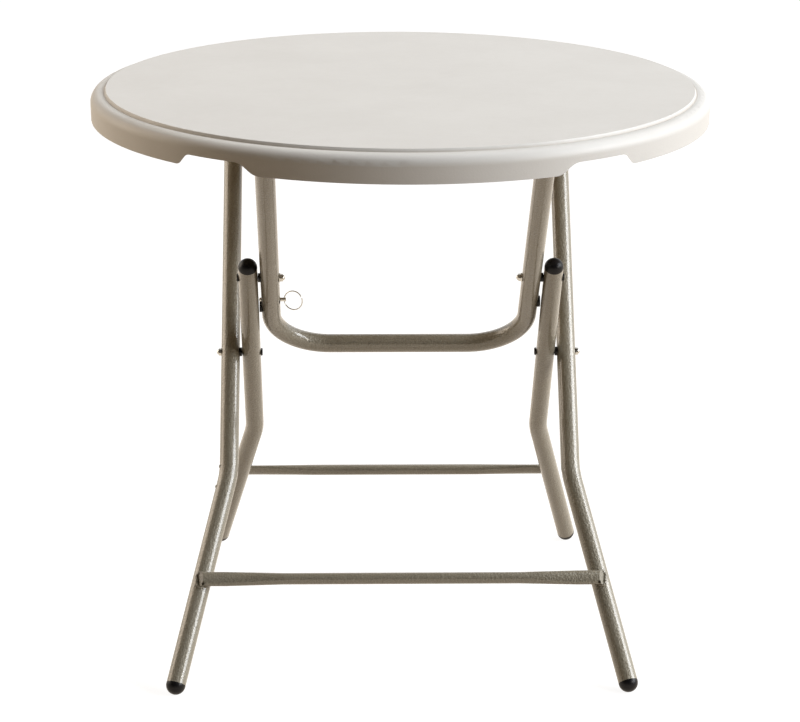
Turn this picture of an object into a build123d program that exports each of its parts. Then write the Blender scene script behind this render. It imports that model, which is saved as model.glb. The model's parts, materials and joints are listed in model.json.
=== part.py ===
from build123d import *
from math import asin, atan2, cos, degrees, radians, sin, sqrt
import os

# Round folding table. A moulded plastic top stands on three tubular steel frames.
# The outer frame hangs from the rear of the top, the brace frame from its front, and the
# inner frame crosses the outer one at the main pivot and meets the brace at the brace pivot.
# Origin on the floor under the centre of the top, X to the right, Y to the rear, Z up.

# Overall sizes
table_diameter = 800.0
table_height = 740.0
foot_reach = 275.0
overrun = 2.0

# Tabletop
panel_thickness = 25.0
skirt_depth = 38.0
skirt_draft = 0.6
rim_width = 20.0
rim_step = 3.8
rim_bevel = 2.2
rim_round = 13.0
rim_wall = 16.0
rim_inner_draft = 3.0
skirt_edge_round = 4.5
notch_depth = 14.0
notch_inner_slope = 17.0
notch_outer_slope = 10.0
notch_inner_round = 20.0
notch_outer_round = 7.0
notch_flare = 10.0
notch_inner_margin = 5.5
notch_outer_margin = 32.0
pad_height = 2.52

# Steel tube and the three frames
tube_radius = 12.5
tube_wall = 1.2
frame_gap = 3.0
weld_gap = 0.05
rear_rim_gap = 4.75
front_rim_gap = 57.3
crossing_angle = 8.22
brace_tail = 170.5
brace_bend_radius = 78.0
lowest_pivot_share = 0.42
highest_pivot_share = 0.8
pivot_halvings = 48
outer_leg_x = 226.0
outer_foot_x = 294.0
outer_bend_z = 236.0
inner_foot_x = 259.0
inner_bend_z = 231.0
leg_bend_radius = 120.0
inner_top_reach = 20.0

# Crossbars: round in the middle, pressed flat and wide where they are welded on
bar_radius = 7.5
bar_flat_width = 19.0
bar_flat_thickness = 9.5
bar_sink = 2.25
bar_flare = 75.0
bar_flat_length = 38.0
bar_past_leg = 5.0
bar_bevel = 40.0
vent_radius = 1.9
vent_depth = 5.0
vent_inset = 3.0
vent_edge = 2.6
front_bar_z = 119.0
rear_bar_z = 127.0
fold_gap = 0.5

# Feet and tube ends
plug_stem = 22.0
plug_fit = 0.1
plug_collar = 1.5
end_cap_lip = 1.5
end_cap_stem = 14.0

# Saddles that hold the cross tubes under the top
bush_fit = 0.08
bush_wall = 1.8
bush_slit = 1.5
saddle_fit = 0.1
saddle_steel = 1.8
saddle_bend = 1.0
saddle_width = 26.0
saddle_flange = 20.0
saddle_side_gap = 26.0
pad_margin = 4.0
screw_radius = 2.4
screw_hole_fit = 0.3
screw_pilot_fit = 0.05
screw_length = 15.0
screw_head_radius = 4.6
screw_head_height = 2.6
screw_head_crown = 1.2

# Pivot bolts
bolt_radius = 3.0
bolt_fit = 0.08
bolt_head_radius = 5.2
bolt_head_clearance = 0.5
bolt_head_edge = 0.8
spacer_radius = 6.0
spacer_clearance = 0.3
washer_radius = 5.8
washer_thickness = 1.2
nut_flats = 9.0
nut_height = 3.4
nut_dome_height = 2.8
nut_dome_radius = 3.9
nut_thread_fit = 0.03
nut_bolt_end = 2.6

# Lock on the left leg of the brace, and the stop pads beside it
lock_offset = 55.0
lock_pin_radius = 2.5
lock_pin_fit = 0.08
lock_hole_fit = 0.5
lock_tip_clearance = 0.3
lock_tip_chamfer = 0.6
lock_travel = 4.0
lock_pull = 3.0
lock_eye_reach = 1.3
lock_eye_end = 2.6
lock_collar_radius = 4.0
lock_collar_thickness = 1.5
lock_slack = 0.2
housing_radius = 5.6
housing_bore_radius = 4.4
housing_wall = 2.2
housing_recess = 0.2
spring_radius = 3.3
spring_wire_radius = 0.4
spring_turns = 5.0
ring_radius = 12.6
ring_wire_radius = 0.8
ring_eye_fit = 0.5
ring_rest_swing = 20.0
left_pad_past_lock = 18.0
right_pad_past_lock = 5.5
pad_radius = 7.5
pad_clearance = 0.4
pad_stem_radius = 2.5
pad_stem = 4.0

# Places worked out from the sizes above
SIDES = (-1, 1)
CROSS = Vector(1, 0, 0)
DOWN = Vector(0, 0, -1)
BACK = Vector(0, 1, 0)
LEFT = CROSS * -1
table_radius = table_diameter / 2
rim_inner_radius = table_radius - rim_wall
recess_radius = rim_inner_radius - rim_inner_draft
tube_bore = tube_radius - tube_wall
leg_pitch = 2 * tube_radius + frame_gap
inner_leg_x = outer_leg_x - leg_pitch
brace_leg_x = inner_leg_x - leg_pitch
panel_underside = table_height - panel_thickness
skirt_bottom = table_height - skirt_depth
saddle_bore = tube_radius + bush_fit + bush_wall + saddle_fit
pad_face = panel_underside - pad_height
pivot_height = pad_face - saddle_bore
bar_offset = tube_radius + bar_flat_thickness / 2 - bar_sink
bolt_head_height = frame_gap - spacer_clearance - bolt_head_clearance
front_foot = Vector(0, -foot_reach, 0)
rear_foot = Vector(0, foot_reach, 0)


def under_rim(leg_x, rim_gap):
    """How far from the middle a cross tube can lie, for its ends to clear the rim by a gap."""
    return sqrt((recess_radius - rim_gap) ** 2 - (leg_x + tube_radius) ** 2) - tube_radius


rear_pivot = Vector(0, under_rim(outer_leg_x, rear_rim_gap), pivot_height)
front_pivot = Vector(0, -under_rim(brace_leg_x, front_rim_gap), pivot_height)
pivot_span = (rear_pivot - front_pivot).length
outer_line = (front_foot - rear_pivot).normalized()


class Linkage:
    """Side view of the legs and the brace, for a height of the main pivot on the outer legs.

    Folded flat, the inner legs just clear the front crossbar, and the brace then lies level,
    in line with both of the top's pivots. That fixes the place of the brace pivot.
    """

    def __init__(self, main_pivot_z):
        self.main_pivot = front_foot - outer_line * (main_pivot_z / -outer_line.Z)
        self.outer_link = (rear_pivot - self.main_pivot).length
        bar_from_main = (main_pivot_z - front_bar_z) / -outer_line.Z
        self.folded_angle = asin((fold_gap + bar_sink) / bar_from_main)
        self.inner_line = (rear_foot - self.main_pivot).normalized()
        front_link = self.main_pivot - front_pivot
        level = self.outer_link * cos(self.folded_angle)
        rise = level - self.inner_line.dot(front_link)
        span = (pivot_span**2 + self.outer_link**2 - front_link.length**2) / 2
        square = pivot_span**2 - rise**2
        half_turn = span * rise - pivot_span**2 * level
        rest = max(0, half_turn**2 - square * ((pivot_span * self.outer_link) ** 2 - span**2))
        self.inner_link = (-half_turn - sqrt(rest)) / square
        self.brace_pivot = self.main_pivot - self.inner_line * self.inner_link
        self.brace_line = (self.brace_pivot - front_pivot).normalized()
        self.crossing = degrees(self.slope(self.inner_line) - self.slope(self.brace_line))

    @staticmethod
    def slope(line):
        """How steeply a line falls to the rear, as an angle."""
        return atan2(-line.Z, line.Y)


# The legs cross at the height that sets the inner legs this far off the brace
too_low = pivot_height * lowest_pivot_share
too_high = pivot_height * highest_pivot_share
for halving in range(pivot_halvings):
    main_pivot_z = (too_low + too_high) / 2
    linkage = Linkage(main_pivot_z)
    if linkage.crossing < crossing_angle:
        too_low = main_pivot_z
    else:
        too_high = main_pivot_z
main_pivot = linkage.main_pivot
brace_pivot = linkage.brace_pivot
inner_line = linkage.inner_line
brace_line = linkage.brace_line
brace_length = (brace_pivot - front_pivot).length + brace_tail
lock_point = brace_pivot + brace_line * lock_offset


def along(line, height):
    """Distance to travel along a line from its top to come down by a height."""
    return height / -line.Z


def frame_plane(top, line):
    """Plane of a frame: its x runs across the table and its y down the legs."""
    return Plane(origin=top, x_dir=CROSS, z_dir=CROSS.cross(line))


outer_plane = frame_plane(rear_pivot, outer_line)
inner_plane = frame_plane(brace_pivot, inner_line)
brace_plane = frame_plane(front_pivot, brace_line)


class Leg:
    """Centre line of one splayed leg, on its frame's plane."""

    def __init__(self, plane, line, top_x, foot_x, bend_z):
        self.plane = plane
        self.line = line
        self.top_x = top_x
        top_z = plane.origin.Z
        self.bend = along(line, top_z - bend_z)
        self.foot = along(line, top_z)
        self.foot_centre = along(line, top_z - tube_radius)
        self.slope = (foot_x - top_x) / (self.foot - self.bend)
        self.foot_line = (line + CROSS * self.slope).normalized()

    def spread(self, distance):
        """How far out from the middle the centre line is, at a distance down the leg."""
        return self.top_x + self.slope * max(0, distance - self.bend)

    def point(self, side, distance):
        """Point of the centre line in the table's own axes."""
        place = self.plane.origin + self.line * distance
        return place + CROSS * (side * self.spread(distance))

    def heading(self, side):
        """Direction of the splayed lower part of the leg."""
        return Vector(side * self.foot_line.X, self.foot_line.Y, self.foot_line.Z)


outer_leg_path = Leg(outer_plane, outer_line, outer_leg_x, outer_foot_x, outer_bend_z)
inner_leg_path = Leg(inner_plane, inner_line, inner_leg_x, inner_foot_x, inner_bend_z)
os.makedirs("parts", exist_ok=True)
finished = []


def finish(part, name):
    """Label a finished piece and write it to its own file."""
    part.label = name
    export_step(part, f"parts/{name}.step")
    finished.append(part)


def side_name(side):
    return "right" if side > 0 else "left"


def tube_along(plane, points, bend_radius):
    """Sweep the steel tube along a line with rounded corners, inside an open part."""
    with BuildLine(plane) as path:
        FilletPolyline(*points, radius=bend_radius)
    with BuildSketch(Plane(origin=path.line @ 0, z_dir=path.line % 0)) as profile:
        Circle(tube_radius)
        Circle(tube_bore, mode=Mode.SUBTRACT)
    sweep(profile.sketch, path=path.line)


def turned(centre, direction, normal, outline):
    """Turn an outline of (distance along, radius) points about a line through a point."""
    with BuildSketch(Plane(origin=centre, x_dir=direction, z_dir=normal)) as profile:
        with BuildLine():
            Polyline(*outline, close=True)
        make_face()
    revolve(profile.sketch, axis=Axis(centre, direction))


def bored(centre, direction, radius, length):
    """Cut a round hole, centred on a point, in the open part."""
    with Locations(Plane(origin=centre, z_dir=direction)):
        Cylinder(radius, length, mode=Mode.SUBTRACT)


def across(point, x):
    """The point at a place across the table, beside a point of the side view."""
    return point + CROSS * x


# Tabletop: a raised flat panel, a bevelled step, a rounded rim and a skirt with two notches
saddle_half_length = saddle_bore + saddle_steel + saddle_flange
screw_y = saddle_bore + saddle_steel + saddle_flange / 2
rear_saddle_x = outer_leg_x - tube_radius - saddle_side_gap
front_saddle_x = brace_leg_x - tube_radius - saddle_side_gap
saddle_places = {
    "rear_saddle_left": across(rear_pivot, -rear_saddle_x),
    "rear_saddle_right": across(rear_pivot, rear_saddle_x),
    "front_saddle_left": across(front_pivot, -front_saddle_x),
    "front_saddle_right": across(front_pivot, front_saddle_x),
}
screw_places = [
    Vector(place.X, place.Y + end * screw_y, pad_face)
    for place in saddle_places.values()
    for end in SIDES
]
notch_inner_x = inner_leg_x - tube_radius - notch_inner_margin
notch_outer_x = outer_leg_x + tube_radius + notch_outer_margin
notch_roof = skirt_bottom + notch_depth
notch_back = overrun - sqrt(recess_radius**2 - notch_outer_x**2)

with BuildPart() as tabletop:
    with BuildSketch(Plane.XZ):
        with BuildLine():
            Polyline(
                (0, panel_underside),
                (0, table_height),
                (table_radius - rim_width, table_height),
                (table_radius - rim_width + rim_bevel, table_height - rim_step),
                (table_radius, table_height - rim_step),
                (table_radius - skirt_draft, skirt_bottom),
                (rim_inner_radius, skirt_bottom),
                (recess_radius, panel_underside),
                close=True,
            )
        rim = make_face()
        outer_corners = rim.vertices().group_by(Axis.X)
        fillet(outer_corners[-1], radius=rim_round)
        fillet(outer_corners[-2], radius=skirt_edge_round)
    revolve(axis=Axis.Z)
    for place in saddle_places.values():
        with Locations((place.X, place.Y, (pad_face + panel_underside) / 2)):
            Box(
                saddle_width + 2 * pad_margin,
                2 * (saddle_half_length + pad_margin),
                panel_underside - pad_face,
            )
    for place in screw_places:
        bored(place, DOWN, screw_radius + screw_pilot_fit, 2 * screw_length)
    for side in SIDES:
        with BuildSketch(Plane.XZ.offset(-notch_back)):
            with BuildLine():
                edge = FilletPolyline(
                    (side * (notch_inner_x - notch_flare), skirt_bottom),
                    (side * notch_inner_x, skirt_bottom),
                    (side * (notch_inner_x + notch_inner_slope), notch_roof),
                    (side * (notch_outer_x - notch_outer_slope), notch_roof),
                    (side * notch_outer_x, skirt_bottom),
                    (side * (notch_outer_x + notch_flare), skirt_bottom),
                    radius=2 * [notch_inner_round] + 2 * [notch_outer_round],
                )
                Polyline(
                    edge @ 1,
                    (side * (notch_outer_x + notch_flare), skirt_bottom - overrun),
                    (side * (notch_inner_x - notch_flare), skirt_bottom - overrun),
                    edge @ 0,
                )
            make_face()
        extrude(amount=table_radius + notch_back + overrun, mode=Mode.SUBTRACT)
finish(tabletop.part, "tabletop")


# Saddles, their nylon bushes and their screws
def saddle(place):
    """Pressed strap that hangs a cross tube from its pad."""
    outside = saddle_bore + saddle_steel
    with BuildPart() as strap:
        with BuildSketch(Plane(origin=place, x_dir=BACK, z_dir=CROSS)) as omega:
            with BuildLine():
                Polyline(
                    (-saddle_bore, 0),
                    (-saddle_bore, saddle_bore),
                    (-saddle_half_length, saddle_bore),
                    (-saddle_half_length, saddle_bore - saddle_steel),
                    (-outside, saddle_bore - saddle_steel),
                    (-outside, 0),
                )
                ThreePointArc((-outside, 0), (0, -outside), (outside, 0))
                Polyline(
                    (outside, 0),
                    (outside, saddle_bore - saddle_steel),
                    (saddle_half_length, saddle_bore - saddle_steel),
                    (saddle_half_length, saddle_bore),
                    (saddle_bore, saddle_bore),
                    (saddle_bore, 0),
                )
                ThreePointArc((saddle_bore, 0), (0, -saddle_bore), (-saddle_bore, 0))
            make_face()
            bends = omega.vertices().group_by(Axis.Y)
            inner_bends = bends[-1].sort_by(Axis.X)[1:-1]
            outer_bends = bends[-2].sort_by(Axis.X)[1:-1]
            fillet(inner_bends, radius=saddle_bend + saddle_steel)
            fillet(outer_bends, radius=saddle_bend)
        extrude(amount=saddle_width / 2, both=True)
        for end in SIDES:
            hole = Vector(place.X, place.Y + end * screw_y, pad_face)
            bored(hole, DOWN, screw_radius + screw_hole_fit, 4 * saddle_steel)
    return strap.part


for name, place in saddle_places.items():
    finish(saddle(place), name)

with BuildPart() as saddle_bushes:
    for place in saddle_places.values():
        with BuildSketch(Plane(origin=place, x_dir=BACK, z_dir=CROSS)):
            Circle(saddle_bore - saddle_fit)
            Circle(tube_radius + bush_fit, mode=Mode.SUBTRACT)
            with Locations((0, saddle_bore)):
                Rectangle(bush_slit, saddle_bore, mode=Mode.SUBTRACT)
        extrude(amount=saddle_width / 2, both=True)
finish(saddle_bushes.part, "saddle_bushes")

with BuildPart() as saddle_screws:
    for place in screw_places:
        seat = place + DOWN * saddle_steel
        crown = screw_head_height - screw_head_crown
        turned(seat, DOWN, BACK, [
            (-saddle_steel - screw_length + screw_head_height, 0),
            (-saddle_steel - screw_length + screw_head_height + screw_radius, screw_radius),
            (0, screw_radius),
            (0, screw_head_radius),
            (crown, screw_head_radius),
            (screw_head_height, screw_head_radius - screw_head_crown),
            (screw_head_height, 0),
        ])
finish(saddle_screws.part, "saddle_screws")


# Parts shared by the frames
def foot_plug(leg, side):
    """Domed plug pressed into the foot of a leg."""
    with BuildPart() as plug:
        centre = leg.point(side, leg.foot_centre)
        heading = leg.heading(side)
        with BuildSketch(Plane(origin=centre, x_dir=heading, z_dir=heading.cross(CROSS))):
            with BuildLine():
                Polyline(
                    (tube_radius, 0),
                    (-plug_collar - plug_stem, 0),
                    (-plug_collar - plug_stem, tube_bore - plug_fit),
                    (-plug_collar, tube_bore - plug_fit),
                    (-plug_collar, tube_radius),
                    (0, tube_radius),
                )
                RadiusArc((0, tube_radius), (tube_radius, 0), tube_radius)
            make_face()
        revolve(axis=Axis(centre, heading))
    return plug.part


def end_caps(pivot, half_length):
    """Flat plugs in both ends of a cross tube."""
    with BuildPart() as caps:
        for side in SIDES:
            turned(across(pivot, side * half_length), CROSS * side, BACK, [
                (-end_cap_stem, 0),
                (-end_cap_stem, tube_bore - plug_fit),
                (0, tube_bore - plug_fit),
                (0, tube_radius),
                (end_cap_lip / 2, tube_radius),
                (end_cap_lip, tube_radius - end_cap_lip / 2),
                (end_cap_lip, 0),
            ])
    return caps.part


def cross_tube(pivot, half_length):
    """Plain tube that the top's saddles carry."""
    with BuildPart() as tube:
        with BuildSketch(Plane(origin=pivot, x_dir=BACK, z_dir=CROSS)):
            Circle(tube_radius)
            Circle(tube_bore, mode=Mode.SUBTRACT)
        extrude(amount=half_length, both=True)
    return tube.part


def crossbar(leg, height, facing):
    """Bar between two legs, standing on the side of the legs that it faces."""
    distance = along(leg.line, leg.plane.origin.Z - height)
    normal = leg.plane.z_dir * facing
    centre = leg.plane.origin + leg.line * distance + normal * bar_offset
    half_length = leg.spread(distance) + bar_past_leg
    flat_from = half_length - bar_flat_length
    round_to = flat_from - bar_flare

    def section(x):
        return Plane(origin=across(centre, x), x_dir=leg.line, z_dir=CROSS)

    with BuildPart() as bar:
        with BuildSketch(section(0)):
            Circle(bar_radius)
        extrude(amount=round_to, both=True)
        for side in SIDES:
            with BuildSketch(section(side * round_to)):
                Circle(bar_radius)
            with BuildSketch(section(side * flat_from)):
                Ellipse(bar_flat_width / 2, bar_flat_thickness / 2)
            loft()
            with BuildSketch(section(side * flat_from)):
                Ellipse(bar_flat_width / 2, bar_flat_thickness / 2)
            extrude(amount=side * bar_flat_length)
            bored(
                leg.point(side, distance),
                leg.heading(side),
                tube_radius + weld_gap,
                2 * bar_flare,
            )
            vent = across(centre, side * (half_length - bar_past_leg - vent_inset))
            vent += leg.line * (bar_flat_width / 2 - vent_edge) + normal * (bar_flat_thickness / 2)
            bored(vent, normal, vent_radius, 2 * vent_depth)
            bevel = radians(bar_bevel)
            corner = across(centre, side * half_length) - normal * (bar_flat_thickness / 2)
            outward = CROSS * (side * cos(bevel)) + normal * sin(bevel)
            split(bisect_by=Plane(origin=corner, z_dir=outward), keep=Keep.BOTTOM)
    return bar.part


# Outer frame: two splayed legs on the rear cross tube, with a crossbar in front of them
def outer_leg(side):
    end = outer_leg_path.point(side, outer_leg_path.foot_centre)
    end = outer_plane.to_local_coords(end - outer_leg_path.heading(side) * plug_collar)
    with BuildPart() as leg:
        tube_along(
            outer_plane,
            [(side * outer_leg_x, 0), (side * outer_leg_x, outer_leg_path.bend), (end.X, end.Y)],
            leg_bend_radius,
        )
        bored(rear_pivot, CROSS, tube_radius + weld_gap, 3 * outer_leg_x)
        hole = across(main_pivot, side * outer_leg_x)
        bored(hole, CROSS, bolt_radius + bolt_fit, 3 * tube_radius)
    return leg.part


for side in SIDES:
    finish(outer_leg(side), f"outer_leg_{side_name(side)}")
    finish(foot_plug(outer_leg_path, side), f"front_foot_{side_name(side)}")

outer_tube_half = outer_leg_x + tube_radius - end_cap_lip
finish(cross_tube(rear_pivot, outer_tube_half), "outer_cross_tube")
finish(end_caps(rear_pivot, outer_tube_half), "outer_tube_caps")
finish(crossbar(outer_leg_path, front_bar_z, -1), "front_crossbar")


# Inner frame: two splayed legs that run on past the brace pivot, with a crossbar behind
def inner_leg(side):
    end = inner_leg_path.point(side, inner_leg_path.foot_centre)
    end = inner_plane.to_local_coords(end - inner_leg_path.heading(side) * plug_collar)
    with BuildPart() as leg:
        tube_along(
            inner_plane,
            [
                (side * inner_leg_x, -inner_top_reach),
                (side * inner_leg_x, inner_leg_path.bend),
                (end.X, end.Y),
            ],
            leg_bend_radius,
        )
        for pivot in (main_pivot, brace_pivot):
            hole = across(pivot, side * inner_leg_x)
            bored(hole, CROSS, bolt_radius + bolt_fit, 3 * tube_radius)
        if side < 0:
            inner_wall = across(lock_point, side * (inner_leg_x - tube_radius))
            bored(inner_wall, CROSS, lock_pin_radius + lock_hole_fit, 2 * tube_radius)
    return leg.part


def inner_top_cap(side):
    """Domed plug in the open top end of an inner leg."""
    with BuildPart() as cap:
        centre = across(brace_pivot - inner_line * inner_top_reach, side * inner_leg_x)
        heading = inner_line * -1
        with BuildSketch(Plane(origin=centre, x_dir=heading, z_dir=heading.cross(CROSS))):
            with BuildLine():
                Polyline(
                    (tube_radius, 0),
                    (-inner_top_reach + bolt_head_radius, 0),
                    (-inner_top_reach + bolt_head_radius, tube_bore - plug_fit),
                    (0, tube_bore - plug_fit),
                    (0, tube_radius),
                )
                RadiusArc((0, tube_radius), (tube_radius, 0), tube_radius)
            make_face()
        revolve(axis=Axis(centre, heading))
    return cap.part


for side in SIDES:
    finish(inner_leg(side), f"inner_leg_{side_name(side)}")
    finish(inner_top_cap(side), f"inner_top_cap_{side_name(side)}")
    finish(foot_plug(inner_leg_path, side), f"rear_foot_{side_name(side)}")
finish(crossbar(inner_leg_path, rear_bar_z, 1), "rear_crossbar")

# Brace frame: one bent tube on the front cross tube
brace_outside = brace_leg_x + tube_radius
brace_inside = brace_leg_x - tube_radius
pad_points = {
    -1: lock_point + brace_line * left_pad_past_lock,
    1: lock_point + brace_line * right_pad_past_lock,
}
with BuildPart() as brace_frame:
    tube_along(
        brace_plane,
        [
            (-brace_leg_x, 0),
            (-brace_leg_x, brace_length),
            (brace_leg_x, brace_length),
            (brace_leg_x, 0),
        ],
        brace_bend_radius,
    )
    bored(front_pivot, CROSS, tube_radius + weld_gap, 3 * brace_leg_x)
    bored(brace_pivot, CROSS, bolt_radius + bolt_fit, 3 * brace_leg_x)
    for side, place in pad_points.items():
        bored(across(place, side * brace_outside), CROSS, pad_stem_radius + plug_fit, 2 * tube_radius)
    bored(across(lock_point, -brace_leg_x), CROSS, housing_radius + plug_fit, 3 * tube_radius)
finish(brace_frame.part, "brace_frame")

brace_tube_half = brace_leg_x + tube_radius - end_cap_lip
finish(cross_tube(front_pivot, brace_tube_half), "brace_cross_tube")
finish(end_caps(front_pivot, brace_tube_half), "brace_tube_caps")


# Pivot bolts: a flat head in the narrow gap on one side, a domed nut on the open side
def bolt_outline(head_at, end_at, outward):
    """Flat-headed bolt along the cross axis, its head facing against outward."""
    head = head_at - outward * bolt_head_height
    return [
        (head, 0),
        (head, bolt_head_radius - bolt_head_edge),
        (head + outward * bolt_head_edge, bolt_head_radius),
        (head_at, bolt_head_radius),
        (head_at, bolt_radius),
        (end_at, bolt_radius),
        (end_at, 0),
    ]


def domed_nut(pivot, side, face, outward, bore_length):
    """Hexagon nut with a closed dome, on a face at a distance out from the middle."""
    base = across(pivot, side * face)
    facing = CROSS * (side * outward)
    nut_top = nut_height + nut_dome_height
    with BuildSketch(Plane(origin=base, x_dir=BACK, z_dir=facing)) as hexagon:
        RegularPolygon(nut_flats / 2, side_count=6, major_radius=False)
    extrude(hexagon.sketch, amount=nut_height)
    with BuildSketch(Plane(origin=base, x_dir=facing, z_dir=BACK)) as dome:
        with BuildLine():
            Polyline((nut_top, 0), (0, 0), (0, nut_dome_radius), (nut_height, nut_dome_radius))
            TangentArc((nut_top, 0), (nut_height, nut_dome_radius), tangent=(0, 1))
        make_face()
    revolve(dome.sketch, axis=Axis(base, facing))
    bored(base, facing, bolt_radius + nut_thread_fit, 2 * bore_length)


outer_outside = outer_leg_x + tube_radius
outer_inside = outer_leg_x - tube_radius
inner_outside = inner_leg_x + tube_radius
inner_inside = inner_leg_x - tube_radius

with BuildPart() as main_pivot_bolts:
    for side in SIDES:
        outline = bolt_outline(inner_inside - spacer_clearance, outer_outside + nut_bolt_end, 1)
        turned(main_pivot, CROSS * side, BACK, outline)
finish(main_pivot_bolts.part, "main_pivot_bolts")

with BuildPart() as main_pivot_nuts:
    for side in SIDES:
        domed_nut(main_pivot, side, outer_outside, 1, nut_bolt_end + nut_thread_fit)
finish(main_pivot_nuts.part, "main_pivot_nuts")


def spacer(pivot, side, from_x, to_x, seat_point, seat_line):
    """Collar in the gap between two legs, hollowed on one side to sit on its own leg."""
    outline = [
        (from_x, bolt_radius + bolt_fit),
        (from_x, spacer_radius),
        (to_x, spacer_radius),
        (to_x, bolt_radius + bolt_fit),
    ]
    turned(pivot, CROSS * side, BACK, outline)
    bored(seat_point, seat_line, tube_radius + weld_gap, 4 * tube_radius)


with BuildPart() as main_pivot_spacers:
    for side in SIDES:
        spacer(
            main_pivot,
            side,
            inner_outside + spacer_clearance,
            outer_inside + tube_wall,
            across(main_pivot, side * outer_leg_x),
            outer_line,
        )
finish(main_pivot_spacers.part, "main_pivot_spacers")

# The brace pivot's bolt is split at the face between the two legs
with BuildPart() as brace_pivot_bolts:
    for side in SIDES:
        outline = bolt_outline(inner_outside, inner_inside, -1)
        turned(brace_pivot, CROSS * side, BACK, outline)
finish(brace_pivot_bolts.part, "brace_pivot_bolts")

nut_seat = brace_inside - washer_thickness
with BuildPart() as brace_pivot_studs:
    for side in SIDES:
        outline = [
            (nut_seat - nut_bolt_end, 0),
            (nut_seat - nut_bolt_end, bolt_radius),
            (inner_inside - spacer_clearance, bolt_radius),
            (inner_inside - spacer_clearance, 0),
        ]
        turned(brace_pivot, CROSS * side, BACK, outline)
finish(brace_pivot_studs.part, "brace_pivot_studs")

with BuildPart() as brace_pivot_nuts:
    for side in SIDES:
        domed_nut(brace_pivot, side, nut_seat, -1, nut_bolt_end + nut_thread_fit)
finish(brace_pivot_nuts.part, "brace_pivot_nuts")

with BuildPart() as brace_pivot_washers:
    for side in SIDES:
        turned(brace_pivot, CROSS * side, BACK, [
            (nut_seat, bolt_radius + bolt_fit),
            (nut_seat, washer_radius),
            (brace_inside, washer_radius),
            (brace_inside, bolt_radius + bolt_fit),
        ])
finish(brace_pivot_washers.part, "brace_pivot_washers")

with BuildPart() as brace_pivot_spacers:
    for side in SIDES:
        spacer(
            brace_pivot,
            side,
            brace_outside - tube_wall,
            inner_inside - spacer_clearance,
            across(brace_pivot, side * brace_leg_x),
            brace_line,
        )
finish(brace_pivot_spacers.part, "brace_pivot_spacers")

pad_end = inner_inside - pad_clearance
with BuildPart() as stop_pads:
    for side, place in pad_points.items():
        turned(place, CROSS * side, BACK, [
            (brace_outside - tube_wall, 0),
            (brace_outside - tube_wall, pad_radius),
            (pad_end, pad_radius),
            (pad_end, 0),
        ])
        leg_side = across(place, side * brace_leg_x)
        bored(leg_side, brace_line, tube_radius + weld_gap, 4 * tube_radius)
        turned(place, CROSS * side, BACK, [
            (brace_outside - pad_stem, 0),
            (brace_outside - pad_stem, pad_stem_radius),
            (pad_end, pad_stem_radius),
            (pad_end, 0),
        ])
finish(stop_pads.part, "stop_pads")

# Lock: a sprung pin through the left brace leg, drawn back by a ring
housing_gap_end = brace_outside - housing_recess
housing_ring_end = brace_inside + housing_recess
chamber_gap_end = housing_gap_end - housing_wall
chamber_ring_end = housing_ring_end + housing_wall
pin_tip = inner_inside - lock_tip_clearance
collar_gap_face = chamber_gap_end - lock_travel - lock_slack
collar_ring_face = collar_gap_face - lock_collar_thickness
eye_x = brace_inside - lock_eye_reach - lock_travel
spring_start = collar_ring_face - spring_wire_radius - lock_slack
spring_length = spring_start - spring_wire_radius - lock_slack - lock_pull - chamber_ring_end

with BuildPart() as lock_housing:
    turned(lock_point, LEFT, BACK, [
        (housing_ring_end, lock_pin_radius + lock_pin_fit),
        (housing_ring_end, housing_radius),
        (housing_gap_end, housing_radius),
        (housing_gap_end, lock_pin_radius + lock_pin_fit),
        (chamber_gap_end, lock_pin_radius + lock_pin_fit),
        (chamber_gap_end, housing_bore_radius),
        (chamber_ring_end, housing_bore_radius),
        (chamber_ring_end, lock_pin_radius + lock_pin_fit),
    ])
finish(lock_housing.part, "lock_housing")

with BuildPart() as lock_pin:
    turned(lock_point, LEFT, BACK, [
        (eye_x - lock_eye_end, 0),
        (eye_x - lock_eye_end, lock_pin_radius - lock_tip_chamfer),
        (eye_x - lock_eye_end + lock_tip_chamfer, lock_pin_radius),
        (collar_ring_face, lock_pin_radius),
        (collar_ring_face, lock_collar_radius),
        (collar_gap_face, lock_collar_radius),
        (collar_gap_face, lock_pin_radius),
        (pin_tip - lock_tip_chamfer, lock_pin_radius),
        (pin_tip, lock_pin_radius - lock_tip_chamfer),
        (pin_tip, 0),
    ])
    bored(across(lock_point, -eye_x), DOWN, ring_wire_radius + ring_eye_fit, 4 * lock_pin_radius)
finish(lock_pin.part, "lock_pin")

with BuildPart() as lock_spring:
    coil_start = across(lock_point, -spring_start)
    with BuildLine() as coil:
        Helix(
            spring_length / spring_turns,
            spring_length,
            spring_radius,
            center=coil_start,
            direction=CROSS,
        )
    with BuildSketch(Plane(origin=coil.line @ 0, z_dir=coil.line % 0)):
        Circle(spring_wire_radius)
    sweep(is_frenet=True)
finish(lock_spring.part, "lock_spring")

with BuildPart() as pull_ring:
    ring_facing = BACK.rotate(Axis.Z, -ring_rest_swing)
    ring_across = CROSS.rotate(Axis.Z, -ring_rest_swing)
    ring_centre = across(lock_point, -eye_x) + ring_across * ring_radius
    with Locations(Plane(origin=ring_centre, x_dir=ring_across, z_dir=ring_facing)):
        Torus(ring_radius, ring_wire_radius)
finish(pull_ring.part, "pull_ring")

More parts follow.
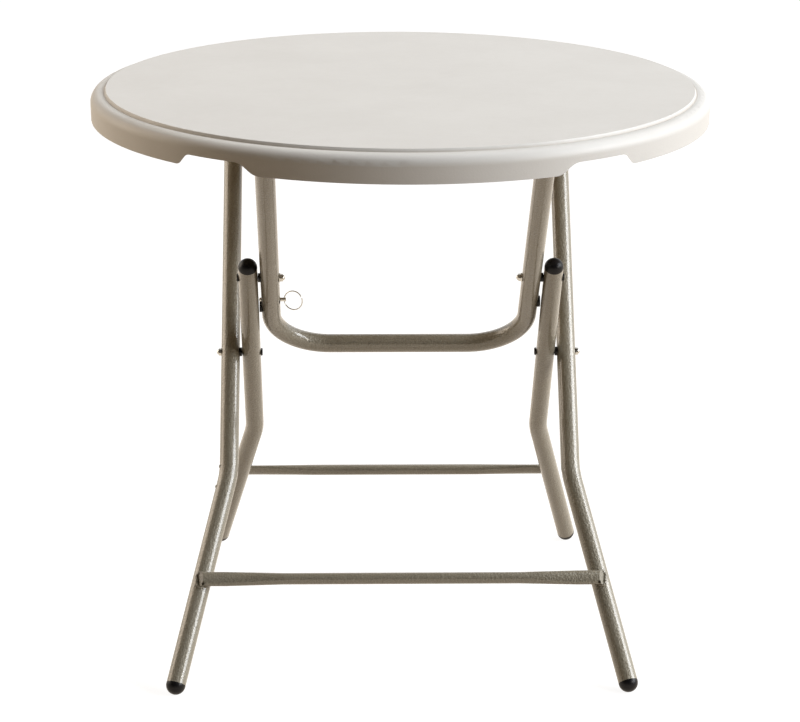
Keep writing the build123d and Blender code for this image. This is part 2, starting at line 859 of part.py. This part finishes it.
# The same linkage as angles and places, for whoever drives the joints
folded_reach = sqrt(
    linkage.outer_link**2 + linkage.inner_link**2
    - 2 * linkage.outer_link * linkage.inner_link * cos(linkage.folded_angle)
)
folded_outer = asin(linkage.inner_link * sin(linkage.folded_angle) / folded_reach)
outer_turn = degrees(asin(-outer_line.Z) - folded_outer)
brace_turn = degrees(asin(-brace_line.Z))
inner_turn = 180 - degrees(asin(-inner_line.Z) + folded_outer + linkage.folded_angle)
for label, place in (
    ("rear pivot", rear_pivot),
    ("front pivot", front_pivot),
    ("main pivot", main_pivot),
    ("brace pivot", brace_pivot),
    ("lock", lock_point),
):
    print(label, round(place.Y, 3), round(place.Z, 3))
print("folding turns", round(outer_turn, 3), round(brace_turn, 3), round(inner_turn, 3))
print("pieces", len(finished))
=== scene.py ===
"""Looks of the round folding table: finishes, welds, camera and lights. Metres and radians."""

import json
from math import cos, pi, radians, sin, sqrt

import bpy
from mathutils import Matrix, Vector


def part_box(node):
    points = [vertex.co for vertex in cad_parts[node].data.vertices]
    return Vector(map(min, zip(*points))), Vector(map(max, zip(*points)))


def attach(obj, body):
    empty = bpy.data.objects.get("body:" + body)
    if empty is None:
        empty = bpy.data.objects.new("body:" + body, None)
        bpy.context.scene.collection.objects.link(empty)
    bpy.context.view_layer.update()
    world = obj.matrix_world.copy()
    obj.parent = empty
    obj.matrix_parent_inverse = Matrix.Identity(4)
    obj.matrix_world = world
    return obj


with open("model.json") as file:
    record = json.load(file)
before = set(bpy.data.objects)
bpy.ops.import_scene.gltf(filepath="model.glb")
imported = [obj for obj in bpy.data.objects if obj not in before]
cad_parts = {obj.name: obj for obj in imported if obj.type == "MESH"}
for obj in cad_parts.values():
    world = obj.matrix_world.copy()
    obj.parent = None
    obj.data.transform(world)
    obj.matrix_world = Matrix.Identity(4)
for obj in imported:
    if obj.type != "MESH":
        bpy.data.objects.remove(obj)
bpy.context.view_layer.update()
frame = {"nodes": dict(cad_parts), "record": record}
NODES = frame["nodes"]


# Shader helpers
NOISE_ROUGHNESS = 0.55


class Tree:
    """A node tree, with short ways to make and join its nodes."""

    def __init__(self, tree):
        self.nodes = tree.nodes
        self.links = tree.links

    def node(self, kind, **settings):
        made = self.nodes.new(kind)
        for name, value in settings.items():
            setattr(made, name, value)
        return made

    def link(self, source, target):
        self.links.new(source, target)

    def feed(self, target, value):
        """Give a socket a fixed number or a linked value."""
        if isinstance(value, (int, float)):
            target.default_value = value
        else:
            self.link(value, target)

    def math(self, operation, *values):
        """Result of an operation on numbers and linked values."""
        made = self.node("ShaderNodeMath", operation=operation)
        for target, value in zip(made.inputs, values):
            self.feed(target, value)
        return made.outputs["Value"]

    def largest(self, first, *others):
        """The largest of several linked values."""
        for other in others:
            first = self.math("MAXIMUM", first, other)
        return first

    def spread(self, value, low, high, to_low, to_high):
        """Map a value from one range to another, held at its ends."""
        made = self.node("ShaderNodeMapRange")
        made.inputs["From Min"].default_value = low
        made.inputs["From Max"].default_value = high
        made.inputs["To Min"].default_value = to_low
        made.inputs["To Max"].default_value = to_high
        self.link(value, made.inputs["Value"])
        return made.outputs["Result"]

    def blend(self, share, first, second):
        """A colour between two, by a share. Each is a fixed colour or a linked one."""
        made = self.node("ShaderNodeMix", data_type="RGBA")
        for name, colour in (("A", first), ("B", second)):
            if isinstance(colour, tuple):
                made.inputs[name].default_value = (*colour, 1)
            else:
                self.link(colour, made.inputs[name])
        self.link(share, made.inputs["Factor"])
        return made.outputs["Result"]

    def light_path(self):
        return self.node("ShaderNodeLightPath").outputs

    def seen_directly(self):
        """1 for what the camera, a mirror or glass sees, and 0 for light that bounces."""
        path = self.light_path()
        return self.largest(path["Is Camera Ray"], path["Is Glossy Ray"], path["Is Transmission Ray"])


class Surface(Tree):
    """A material with its nodes within reach."""

    def __init__(self, name):
        self.material = bpy.data.materials.new(name)
        self.material.use_nodes = True
        super().__init__(self.material.node_tree)
        self.shader = self.nodes["Principled BSDF"]
        self.place = self.node("ShaderNodeTexCoord").outputs["Object"]

    def set(self, **values):
        """Set the shader's own sockets, named with underscores for spaces."""
        for name, value in values.items():
            self.shader.inputs[name.replace("_", " ")].default_value = value

    def noise(self, size, detail=3.0):
        """Noise whose features are about size metres across, from 0 to 1."""
        made = self.node("ShaderNodeTexNoise")
        made.inputs["Scale"].default_value = 1 / size
        made.inputs["Detail"].default_value = detail
        made.inputs["Roughness"].default_value = NOISE_ROUGHNESS
        self.link(self.place, made.inputs["Vector"])
        return made.outputs["Fac"]

    def cells(self, size, smoothness):
        """Distance to the middle of rounded cells about size metres across."""
        made = self.node("ShaderNodeTexVoronoi", feature="SMOOTH_F1")
        made.inputs["Scale"].default_value = 1 / size
        made.inputs["Smoothness"].default_value = smoothness
        self.link(self.place, made.inputs["Vector"])
        return made.outputs["Distance"]

    def add(self, first, second, share):
        """first plus share times second."""
        return self.math("MULTIPLY_ADD", second, share, first)

    def colour(self, value):
        self.link(value, self.shader.inputs["Base Color"])

    def rough(self, value):
        self.link(value, self.shader.inputs["Roughness"])

    def bump(self, height, depth):
        made = self.node("ShaderNodeBump")
        made.inputs["Distance"].default_value = depth
        self.link(height, made.inputs["Height"])
        self.link(made.outputs["Normal"], self.shader.inputs["Normal"])


# Finishes: sizes and depths in metres, colours in linear light
SOFT_PATCHES = (0.3, 0.7)
TOP_COLOURS = ((0.738, 0.728, 0.698), (0.768, 0.760, 0.731))
TOP_ROUGHNESS = (0.42, 0.52)
TOP_CLOUD_SIZE = 0.11
TOP_SMEAR_SIZE = 0.012
TOP_GRAIN_SIZE = 0.0022
TOP_GRAIN_SMOOTHNESS = 0.8
TOP_PORE_SIZE = 0.0009
TOP_PORE_SHARE = 0.4
TOP_GRAIN_DEPTH = 0.00007
# Painted shade: a brownish darkening laid into the crease ring where the panel steps down to the rim.
CREASE_SHADE_COLOUR = (0.40, 0.345, 0.28)
CREASE_RADIUS = 0.3823
CREASE_HALF_WIDTH = 0.0019
CREASE_SHADE_SHARE = 0.6
PANEL_EDGE_HEIGHT = 0.733


def crease_shade(finish):
    """Share of painted shade in the ring where the top's panel steps down to its rim."""
    flat = finish.node("ShaderNodeVectorMath", operation="MULTIPLY")
    flat.inputs[1].default_value = (1, 1, 0)
    finish.link(finish.place, flat.inputs[0])
    radius = finish.node("ShaderNodeVectorMath", operation="LENGTH")
    finish.link(flat.outputs["Vector"], radius.inputs[0])
    away = finish.math("ABSOLUTE", finish.math("SUBTRACT", radius.outputs["Value"], CREASE_RADIUS))
    near = finish.spread(away, 0, CREASE_HALF_WIDTH, CREASE_SHADE_SHARE, 0)
    parts = finish.node("ShaderNodeSeparateXYZ")
    finish.link(finish.place, parts.inputs["Vector"])
    above = finish.math("GREATER_THAN", parts.outputs["Z"], PANEL_EDGE_HEIGHT)
    return finish.math("MULTIPLY", near, above)


def moulded_top():
    """Off-white moulded plastic with a leathery grain, faint clouds and painted shade in the panel's
    crease.
    """
    finish = Surface("moulded_top")
    clouds = finish.spread(finish.noise(TOP_CLOUD_SIZE, detail=2.0), *SOFT_PATCHES, 0, 1)
    plastic = finish.blend(clouds, *TOP_COLOURS)
    # Painted shade darkens the crease ring between the panel and the rim.
    finish.colour(finish.blend(crease_shade(finish), plastic, CREASE_SHADE_COLOUR))
    finish.rough(finish.spread(finish.noise(TOP_SMEAR_SIZE), *SOFT_PATCHES, *TOP_ROUGHNESS))
    grain = finish.cells(TOP_GRAIN_SIZE, TOP_GRAIN_SMOOTHNESS)
    finish.bump(finish.add(grain, finish.noise(TOP_PORE_SIZE), TOP_PORE_SHARE), TOP_GRAIN_DEPTH)
    finish.set(IOR=1.46)
    return finish.material


COAT_COLOURS = ((0.216, 0.196, 0.148), (0.360, 0.328, 0.254))
COAT_ROUGHNESS = (0.40, 0.50)
COAT_PATCH_SIZE = 0.035
COAT_PATCH_SHARE = 0.4
FLECK_SIZE = 0.0015
FLECK_EDGES = (0.35, 0.65)
FLECK_COLOUR_SHARE = 0.6
FLECK_HEIGHT_SHARE = 0.6
DIMPLE_SIZE = 0.0027
DIMPLE_SMOOTHNESS = 0.6
DIMPLE_DEPTH = 0.00060


def powder_coat():
    """Taupe powder coat with a hammered skin, a fine fleck and a glossy top layer."""
    finish = Surface("powder_coat")
    fleck = finish.noise(FLECK_SIZE, detail=1.0)
    patches = finish.noise(COAT_PATCH_SIZE)
    specks = finish.spread(fleck, *FLECK_EDGES, 0, FLECK_COLOUR_SHARE)
    mixed = finish.add(specks, patches, COAT_PATCH_SHARE)
    finish.colour(finish.blend(mixed, *COAT_COLOURS))
    finish.rough(finish.spread(patches, *SOFT_PATCHES, *COAT_ROUGHNESS))
    dimples = finish.cells(DIMPLE_SIZE, DIMPLE_SMOOTHNESS)
    finish.bump(finish.add(dimples, fleck, FLECK_HEIGHT_SHARE), DIMPLE_DEPTH)
    finish.set(Metallic=0.1, IOR=1.5, Coat_Weight=0.95, Coat_Roughness=0.12)
    return finish.material


def patchy(name, colours, roughness, patch, grain, depth, **settings):
    """A finish whose colour and gloss vary together in soft patches, over a fine grain."""
    finish = Surface(name)
    patches = finish.noise(patch)
    finish.colour(finish.blend(patches, *colours))
    finish.rough(finish.spread(patches, *SOFT_PATCHES, *roughness))
    finish.bump(finish.noise(grain), depth)
    finish.set(**settings)
    return finish.material


def black_moulding():
    """Black moulded plastic, slightly shiny."""
    return patchy(
        "black_moulding",
        colours=((0.004, 0.004, 0.005), (0.011, 0.010, 0.010)),
        roughness=(0.30, 0.40),
        patch=0.006,
        grain=0.0008,
        depth=0.00002,
        Specular_IOR_Level=0.22,
    )


def zinc_plate():
    """Bright zinc plating, slightly yellowed, with some dulling."""
    return patchy(
        "zinc_plate",
        colours=((0.50, 0.48, 0.43), (0.72, 0.70, 0.65)),
        roughness=(0.2, 0.36),
        patch=0.004,
        grain=0.0005,
        depth=0.00002,
        Metallic=1.0,
    )


def black_steel():
    """Blackened steel of the low bolt heads."""
    return patchy(
        "black_steel",
        colours=((0.012, 0.011, 0.010), (0.035, 0.033, 0.031)),
        roughness=(0.35, 0.5),
        patch=0.003,
        grain=0.0006,
        depth=0.00003,
        Metallic=0.5,
        Specular_IOR_Level=0.3,
    )


def natural_nylon():
    """Milky nylon of the saddle bushes."""
    return patchy(
        "natural_nylon",
        colours=((0.66, 0.65, 0.60), (0.72, 0.71, 0.67)),
        roughness=(0.4, 0.55),
        patch=0.01,
        grain=0.0015,
        depth=0.00004,
    )


FINISHES = {
    "tabletop_plastic": moulded_top(),
    "frame_paint": powder_coat(),
    "black_plastic": black_moulding(),
    "zinc": zinc_plate(),
    "dark_steel": black_steel(),
    "nylon": natural_nylon(),
    "spring_steel": zinc_plate(),
}
for entry in frame["record"]["subparts"]:
    piece = NODES[entry["node"]]
    piece.data.materials.clear()
    piece.data.materials.append(FINISHES[entry["material_slot"]])


# The legs' centre lines, as the frame has them
TUBE_RADIUS = 0.0125
FOOT_REACH = 0.275
CROSS = Vector((1, 0, 0))
SIDES = (-1, 1)


def middle(node):
    low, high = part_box(node)
    return (Vector(low) + Vector(high)) / 2


class Leg:
    """Centre line of a frame's splayed legs, which bend outward below bend_z."""

    def __init__(self, top, foot, top_x, foot_x, bend_z):
        self.top = top
        self.line = (foot - top).normalized()
        self.forward = CROSS.cross(self.line).normalized()
        self.top_x = top_x
        self.bend_z = bend_z
        self.bend_distance = (top.z - bend_z) / -self.line.z
        self.slope = (foot_x - top_x) / (bend_z / -self.line.z)

    def point(self, side, z):
        """Point of the centre line at a height."""
        distance = (self.top.z - z) / -self.line.z
        spread = self.top_x + self.slope * max(0, distance - self.bend_distance)
        return self.top + self.line * distance + CROSS * (side * spread)

    def heading(self, side, z):
        """Direction of the leg, downward, at a height."""
        slope = self.slope if z < self.bend_z else 0
        return (self.line + CROSS * (side * slope)).normalized()

    def outward(self, side, z):
        """Direction square to the leg that points away from the table's middle."""
        heading = self.heading(side, z)
        return (CROSS * side - heading * heading.dot(CROSS * side)).normalized()


rear_pivot = middle("outer_cross_tube")
front_pivot = middle("brace_cross_tube")
main_pivot = middle("main_pivot_nuts")
front_foot = Vector((0, -FOOT_REACH, 0))
rear_foot = Vector((0, FOOT_REACH, 0))
outer_leg = Leg(rear_pivot, front_foot, top_x=0.226, foot_x=0.294, bend_z=0.236)
inner_leg = Leg(main_pivot, rear_foot, top_x=0.198, foot_x=0.259, bend_z=0.231)


# Welds: rippled beads along the lines where the tubes and bars meet
BEAD_RADIUS = 0.0022
BEAD_STEP = 0.0011
BEAD_CORNERS = 10
RIPPLE_SHARE = 0.2
RIPPLES_PER_STEP = 0.42
TAPER_STEPS = 3
TAPER_TIP_STEPS = 0.15
FEWEST_STEPS = 3
HALVINGS = 24


def solve(gap, low, high):
    """Where gap changes sign between two values, by halving."""
    rising = gap(high) > gap(low)
    for halving in range(HALVINGS):
        mid = (low + high) / 2
        if (gap(mid) > 0) == rising:
            high = mid
        else:
            low = mid
    return (low + high) / 2


def resampled(points, step):
    """The same line with points at even steps."""
    spans = [(b - a).length for a, b in zip(points, points[1:])]
    count = max(FEWEST_STEPS, round(sum(spans) / step))
    even = sum(spans) / count
    made = [points[0]]
    walked = 0
    for start, end, span in zip(points, points[1:], spans):
        while len(made) < count and even * len(made) <= walked + span:
            share = (even * len(made) - walked) / span
            made.append(start.lerp(end, share))
        walked += span
    return made + [points[-1]]


def add_object(name, data):
    made = bpy.data.objects.new(name, data)
    bpy.context.scene.collection.objects.link(made)
    return made


def add_piece(name, vertices, faces, body, slot):
    """Make a smooth mesh piece that rides on a body and has a slot's finish."""
    mesh = bpy.data.meshes.new(name)
    mesh.from_pydata([tuple(v) for v in vertices], [], faces)
    mesh.polygons.foreach_set("use_smooth", [True] * len(mesh.polygons))
    mesh.materials.append(FINISHES[slot])
    piece = add_object(name, mesh)
    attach(piece, body)


def bead(name, lines, body, radius=BEAD_RADIUS):
    """One piece of rippled weld beads, each laid along a line of points, tapering to its ends."""
    vertices, faces = [], []
    for line in lines:
        points = resampled(line, BEAD_STEP)
        last = len(points) - 1
        closed = (points[0] - points[-1]).length < BEAD_STEP
        first = len(vertices)
        for index, point in enumerate(points):
            ahead = (points[min(index + 1, last)] - points[max(index - 1, 0)]).normalized()
            side = ahead.orthogonal().normalized()
            up = ahead.cross(side)
            ripple = 1 + RIPPLE_SHARE * sin(2 * pi * RIPPLES_PER_STEP * index)
            from_tip = min(index, last - index) + TAPER_TIP_STEPS
            taper = 1 if closed else min(1, sqrt(from_tip / TAPER_STEPS))
            size = radius * ripple * taper
            for corner in range(BEAD_CORNERS):
                angle = 2 * pi * corner / BEAD_CORNERS
                vertices.append(point + (side * cos(angle) + up * sin(angle)) * size)
        for index in range(last):
            for corner in range(BEAD_CORNERS):
                after = (corner + 1) % BEAD_CORNERS
                here = first + index * BEAD_CORNERS
                there = here + BEAD_CORNERS
                faces.append((here + corner, here + after, there + after, there + corner))
        if not closed:
            faces.append(tuple(range(first + BEAD_CORNERS - 1, first - 1, -1)))
            start = first + last * BEAD_CORNERS
            faces.append(tuple(range(start, start + BEAD_CORNERS)))
    add_piece(name, vertices, faces, body, "frame_paint")


# A crossbar's flat end lies across a leg, and its bead runs just outside both edges and the end
BAR_FLAT_HALF_WIDTH = 0.0095
BAR_FLAT_HALF_THICKNESS = 0.00475
BAR_PAST_LEG = 0.005
BAR_BEVEL = radians(40)
BEAD_INNER_REACH = radians(-24)
BEAD_OUT = 0.0014
END_SEARCH_REACH = radians(60)
BAR_WELD_STEPS = 12


def bar_weld(leg, node, side, facing):
    """Line along which the coped end of a crossbar meets a leg."""
    bar = middle(node)
    forward = leg.forward * facing
    offset = (bar - leg.top).dot(forward)
    base = leg.point(side, (bar - forward * offset).z)
    heading = leg.heading(side, base.z)
    outward = leg.outward(side, base.z)
    bar_end = base.x * side + BAR_PAST_LEG + BEAD_OUT

    def on_leg(angle, along):
        return base + heading * along + (forward * cos(angle) + outward * sin(angle)) * TUBE_RADIUS

    def edge(angle):
        sunk = (TUBE_RADIUS * cos(angle) - offset) / BAR_FLAT_HALF_THICKNESS
        half_width = BAR_FLAT_HALF_WIDTH * sqrt(max(0, 1 - sunk * sunk)) + BEAD_OUT
        return half_width / heading.dot(leg.line)

    def past_end(angle, along):
        place = on_leg(angle, along)
        above = TUBE_RADIUS * cos(angle) - offset + BAR_FLAT_HALF_THICKNESS
        return (place.x * side - bar_end) * cos(BAR_BEVEL) + above * sin(BAR_BEVEL)

    upper_end = solve(lambda angle: past_end(angle, -edge(angle)), 0, END_SEARCH_REACH)
    lower_end = solve(lambda angle: past_end(angle, edge(angle)), 0, END_SEARCH_REACH)
    line = []
    for step in range(BAR_WELD_STEPS + 1):
        angle = BEAD_INNER_REACH + (upper_end - BEAD_INNER_REACH) * step / BAR_WELD_STEPS
        line.append(on_leg(angle, -edge(angle)))
    for step in range(1, BAR_WELD_STEPS):
        along = -edge(upper_end) + (edge(lower_end) + edge(upper_end)) * step / BAR_WELD_STEPS
        angle = solve(lambda turned: past_end(turned, along), 0, END_SEARCH_REACH)
        line.append(on_leg(angle, along))
    for step in range(BAR_WELD_STEPS, -1, -1):
        angle = BEAD_INNER_REACH + (lower_end - BEAD_INNER_REACH) * step / BAR_WELD_STEPS
        line.append(on_leg(angle, edge(angle)))
    return line


# The legs' coped tops are welded to the cross tubes all round, where the beads hardly show
TOP_BEAD_RADIUS = 0.001
SADDLE_STEPS = 48
SADDLE_LEAST_DEPTH = TUBE_RADIUS * 0.12
BRACE_LEG_X = 0.170


def saddle_weld(pivot, line, side, leg_x):
    """Closed line along which a leg's coped top meets its cross tube."""
    forward = CROSS.cross(line).normalized()
    made = []
    for step in range(SADDLE_STEPS + 1):
        angle = 2 * pi * step / SADDLE_STEPS
        across, over = TUBE_RADIUS * cos(angle), TUBE_RADIUS * sin(angle)
        place = pivot + CROSS * (side * leg_x + across) + forward * over
        made.append(place + line * max(abs(across), SADDLE_LEAST_DEPTH))
    return made


brace_line = (middle("brace_pivot_nuts") - front_pivot).normalized()
bead(
    "front_bar_welds",
    [bar_weld(outer_leg, "front_crossbar", side, facing=-1) for side in SIDES],
    "outer_frame",
)
bead(
    "rear_bar_welds",
    [bar_weld(inner_leg, "rear_crossbar", side, facing=1) for side in SIDES],
    "inner_frame",
)
bead(
    "outer_top_welds",
    [saddle_weld(rear_pivot, outer_leg.line, side, outer_leg.top_x) for side in SIDES],
    "outer_frame",
    radius=TOP_BEAD_RADIUS,
)
bead(
    "brace_top_welds",
    [saddle_weld(front_pivot, brace_line, side, BRACE_LEG_X) for side in SIDES],
    "brace",
    radius=TOP_BEAD_RADIUS,
)

# Two small marks on the outside of the left outer leg, where it was bent
MARK_HEIGHTS = (0.243, 0.219)
MARK_ARC = radians(38)
MARK_STEPS = 10
MARK_RADIUS = 0.0012


def bend_mark(leg, side, z):
    """Short ridge round the outside of a leg."""
    centre = leg.point(side, z)
    outward = leg.outward(side, z)
    forward = leg.heading(side, z).cross(outward)
    made = []
    for step in range(MARK_STEPS + 1):
        angle = MARK_ARC * (2 * step / MARK_STEPS - 1)
        made.append(centre + (outward * cos(angle) + forward * sin(angle)) * TUBE_RADIUS)
    return made


bead(
    "bend_marks",
    [bend_mark(outer_leg, -1, z) for z in MARK_HEIGHTS],
    "outer_frame",
    radius=MARK_RADIUS,
)


# Floor, which goes over into a white background
FLOOR_SIZE = 60.0
FLOOR_GLOW = 0.91
FLOOR_SEEN = (0.27, 0.27, 0.27)
FLOOR_BOUNCE = (0.25, 0.182, 0.113)
FLOOR_IN_GLOSS = (1.0, 0.88, 0.74)
WHITE = (1, 1, 1)


def floor_material():
    """Matt, with a glow that is white where the floor is seen and warm where gloss mirrors it."""
    material = bpy.data.materials.new("floor")
    material.use_nodes = True
    tree = Tree(material.node_tree)
    tree.nodes.clear()
    seen = tree.seen_directly()
    matt = tree.node("ShaderNodeBsdfDiffuse")
    tree.link(tree.blend(seen, FLOOR_BOUNCE, FLOOR_SEEN), matt.inputs["Color"])
    glow = tree.node("ShaderNodeEmission")
    gloss = tree.light_path()["Is Glossy Ray"]
    tree.link(tree.blend(gloss, WHITE, FLOOR_IN_GLOSS), glow.inputs["Color"])
    tree.link(tree.spread(seen, 0, 1, 0, FLOOR_GLOW), glow.inputs["Strength"])
    joined = tree.node("ShaderNodeAddShader")
    tree.link(matt.outputs["BSDF"], joined.inputs[0])
    tree.link(glow.outputs["Emission"], joined.inputs[1])
    output = tree.node("ShaderNodeOutputMaterial")
    tree.link(joined.outputs["Shader"], output.inputs["Surface"])
    return material


def make_floor():
    """Pale floor that lights up to white where it is seen, and keeps a faint shadow."""
    half = FLOOR_SIZE / 2
    mesh = bpy.data.meshes.new("floor")
    corners = [(-half, -half, 0), (half, -half, 0), (half, half, 0), (-half, half, 0)]
    mesh.from_pydata(corners, [], [(0, 1, 2, 3)])
    mesh.materials.append(floor_material())
    add_object("floor", mesh)


# Studio light: a warm room that is darker in front, a window on the right and soft lamps
WORLD_LIGHT = 0.30
WORLD_TINT = (1.0, 0.78, 0.56)
FRONT_SHARE = 0.05
ROOM_TURN = 0.35
WINDOW = {
    "azimuth": radians(79),
    "height": radians(26),
    "width": radians(34),
    "level": 2.52,
    "colour": (0.97, 1.0, 1.05),
}
LAMPS = {
    "spark": {"place": (2.45, -2.0, 1.35), "size": 0.34, "power": 19.0, "colour": (1.0, 0.95, 0.88)},
    "top": {"place": (1.3, 0.4, 3.2), "size": 2.4, "power": 32.0, "colour": (0.94, 0.98, 1.02)},
    "side": {"place": (2.7, 0.45, 1.25), "size": 0.7, "power": 7.0, "colour": (1.0, 0.98, 0.95)},
    "fill": {"place": (-2.9, 0.85, 1.5), "size": 2.0, "power": 38.5, "colour": (1.0, 0.84, 0.66)},
}
LIT_POINT = Vector((0, 0, 0.55))


def make_world():
    """White to the camera, to gloss a room that is dark in front, and to the rest a dim, warm one."""
    world = bpy.data.worlds.new("studio")
    bpy.context.scene.world = world
    world.use_nodes = True
    tree = Tree(world.node_tree)
    path = tree.light_path()
    parts = tree.node("ShaderNodeSeparateXYZ")
    tree.link(tree.node("ShaderNodeTexCoord").outputs["Generated"], parts.inputs["Vector"])
    room = tree.spread(parts.outputs["Y"], -ROOM_TURN, ROOM_TURN, FRONT_SHARE, 1)
    level = tree.spread(path["Is Glossy Ray"], 0, 1, WORLD_LIGHT, 1)
    graded = tree.math("MULTIPLY", room, level)
    strength = tree.largest(graded, path["Is Camera Ray"], path["Is Transmission Ray"])
    backdrop = tree.nodes["Background"]
    tree.link(tree.blend(tree.seen_directly(), WORLD_TINT, WHITE), backdrop.inputs["Color"])
    tree.link(strength, backdrop.inputs["Strength"])


def aim(lamp, direction):
    lamp.rotation_mode = "QUATERNION"
    lamp.rotation_quaternion = direction.to_track_quat("-Z", "Y")


def make_lamp(name, place, size, power, colour):
    light = bpy.data.lights.new(name, "AREA")
    light.shape = "SQUARE"
    light.size = size
    light.energy = power
    light.color = colour
    lamp = add_object(name, light)
    lamp.location = place
    aim(lamp, LIT_POINT - Vector(place))


def make_window():
    """Even light from far on the right, as wide as a large window, so that shadows stay soft."""
    light = bpy.data.lights.new("window", "SUN")
    light.energy = WINDOW["level"]
    light.angle = WINDOW["width"]
    light.color = WINDOW["colour"]
    azimuth, height = WINDOW["azimuth"], WINDOW["height"]
    towards = Vector((sin(azimuth) * cos(height), -cos(azimuth) * cos(height), sin(height)))
    aim(add_object("window", light), -towards)


# Camera, fitted to the photograph's pivots, rim, feet and bars, with its lens in millimetres
CAMERA_PLACE = Vector((-0.0826, -3.2339, 1.3865))
CAMERA_YAW = 0.02598
CAMERA_PITCH = 0.30643
CAMERA_ROLL = 0.00534
CAMERA_LENS = 113.82
SENSOR_WIDTH = 36.0


def make_camera():
    lens = bpy.data.cameras.new("camera")
    lens.lens = CAMERA_LENS
    lens.sensor_width = SENSOR_WIDTH
    camera = add_object("camera", lens)
    bpy.context.scene.camera = camera
    ahead = Vector((
        sin(CAMERA_YAW) * cos(CAMERA_PITCH),
        cos(CAMERA_YAW) * cos(CAMERA_PITCH),
        -sin(CAMERA_PITCH),
    ))
    level = Vector((cos(CAMERA_YAW), -sin(CAMERA_YAW), 0))
    upright = level.cross(ahead)
    right = level * cos(CAMERA_ROLL) + upright * sin(CAMERA_ROLL)
    up = upright * cos(CAMERA_ROLL) - level * sin(CAMERA_ROLL)
    turn = Matrix((right, up, -ahead)).transposed().to_4x4()
    camera.matrix_world = Matrix.Translation(CAMERA_PLACE) @ turn


make_floor()
make_world()
make_window()
for name, lamp in LAMPS.items():
    make_lamp(name, **lamp)
make_camera()
bpy.context.scene.view_settings.view_transform = "Standard"
